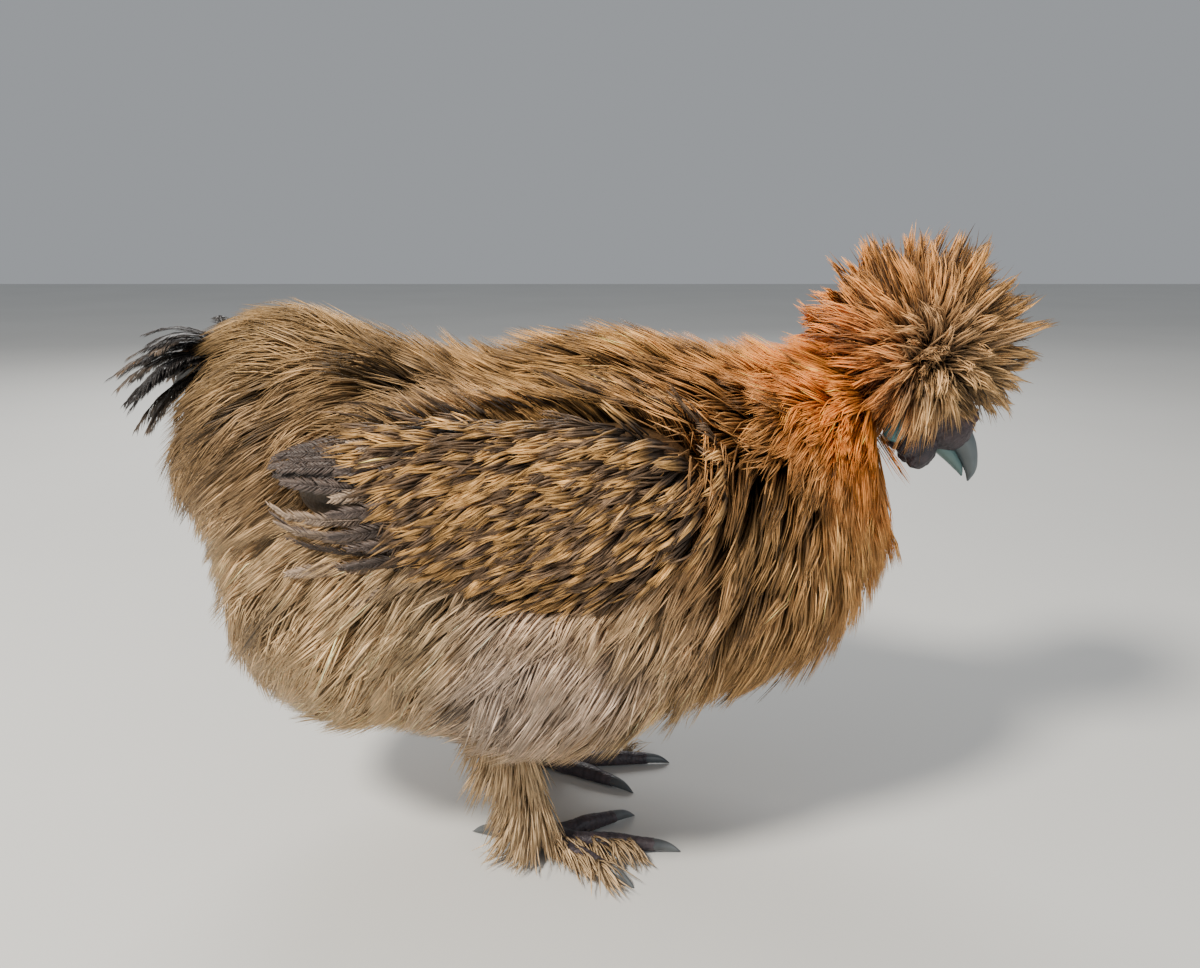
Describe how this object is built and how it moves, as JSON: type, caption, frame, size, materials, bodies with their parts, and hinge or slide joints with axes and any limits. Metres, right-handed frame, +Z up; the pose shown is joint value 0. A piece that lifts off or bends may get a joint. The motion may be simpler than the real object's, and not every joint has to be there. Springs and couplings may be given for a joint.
{
  "type": "silkie hen",
  "caption": "Life-size still model of a silkie hen standing with lowered head: round loose crest, silky locks over breast, saddle and thighs, small ragged wings and tail, feathered feet.",
  "frame": {"origin": "on the floor, under the middle of the model's box", "axes": "+X forwards, the way the beak points, along the bird's length; +Y to the bird's left; +Z up"},
  "size_m": [0.3381, 0.1704, 0.2261],
  "materials": {
    "body_feather": "silky loose feather, golden tan over grey-brown down",
    "hackle_feather": "silky loose feather, bright orange-brown with black streaks",
    "saddle_feather": "silky loose feather, olive-brown with fine golden hairs",
    "fluff_feather": "silky loose feather, pale buff with a greyish-lilac flank",
    "crest_feather": "silky loose feather, golden-tan tips over dark bases",
    "wing_feather": "ragged vanes, dark grey-brown with gold-buff flecks",
    "tail_feather": "ragged vanes, black to dark grey with a tan one across",
    "skin": "dark slate skin, scaled on the shanks and toes",
    "comb": "dark mulberry, warty and slightly moist",
    "earlobe": "turquoise, softly creased",
    "beak": "slate blue-grey horn, satin",
    "claw": "slate horn, satin, paler at the tips",
    "eye": "wet and glossy, very dark brown"
  },
  "bodies": {
    "root": {"torso": "body_feather", "neck": "hackle_feather", "saddle": "saddle_feather", "fluff": "fluff_feather", "head": "skin", "tail": "tail_feather", "crest": "crest_feather", "beak_upper": "beak", "beak_lower": "beak", "comb": "comb", "thigh_right": "fluff_feather", "wing_right": "wing_feather", "leg_right": "skin", "claw_right_inner": "claw", "claw_right_middle": "claw", "claw_right_outer": "claw", "claw_right_hind": "claw", "claw_right_fifth": "claw", "eye_right": "eye", "earlobe_right": "earlobe", "wattle_right": "comb", "thigh_left": "fluff_feather", "wing_left": "wing_feather", "leg_left": "skin", "claw_left_inner": "claw", "claw_left_middle": "claw", "claw_left_outer": "claw", "claw_left_hind": "claw", "claw_left_fifth": "claw", "eye_left": "eye", "earlobe_left": "earlobe", "wattle_left": "comb"}
  },
  "joints": []
}
